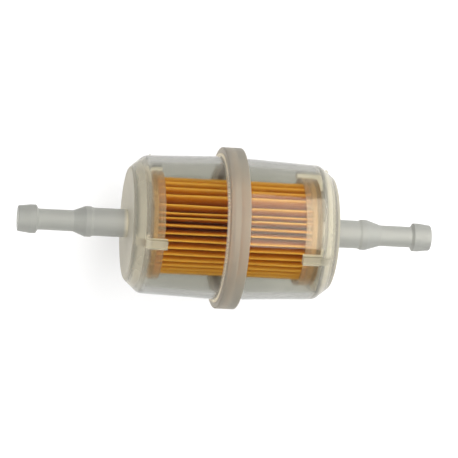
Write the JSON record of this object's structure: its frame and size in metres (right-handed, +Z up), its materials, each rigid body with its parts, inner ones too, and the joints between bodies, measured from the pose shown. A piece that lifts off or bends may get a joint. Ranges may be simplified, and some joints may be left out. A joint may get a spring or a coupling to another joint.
{
  "type": "inline fuel filter",
  "caption": "Translucent round inline fuel filter with a weld flange, a pleated paper element inside and a stepped hose tail at each end.",
  "frame": {"origin": "on the filter's axis, in the weld plane at the middle of the flange", "axes": "+X along the axis from inlet to outlet, +Z up with the filter lying level"},
  "size_m": [0.1236, 0.0478, 0.0478],
  "materials": {
    "nylon": "milky translucent natural nylon, moulded, soft gloss",
    "cap_plastic": "off-white moulded plastic, slightly translucent",
    "filter_paper": "resin-treated amber filter paper, matt",
    "adhesive": "cured potting adhesive, satin",
    "seal_rubber": "fuel-proof black rubber, satin"
  },
  "bodies": {
    "root": {"inlet_housing": "nylon", "outlet_housing": "nylon", "weld_bead": "nylon", "inlet_end_cap": "cap_plastic", "outlet_end_cap": "cap_plastic", "inlet_cap_adhesive": "adhesive", "outlet_cap_adhesive": "adhesive", "pleated_paper": "filter_paper", "paper_seam_glue": "adhesive", "support_core": "cap_plastic", "outlet_seal_ring": "seal_rubber"}
  },
  "joints": []
}
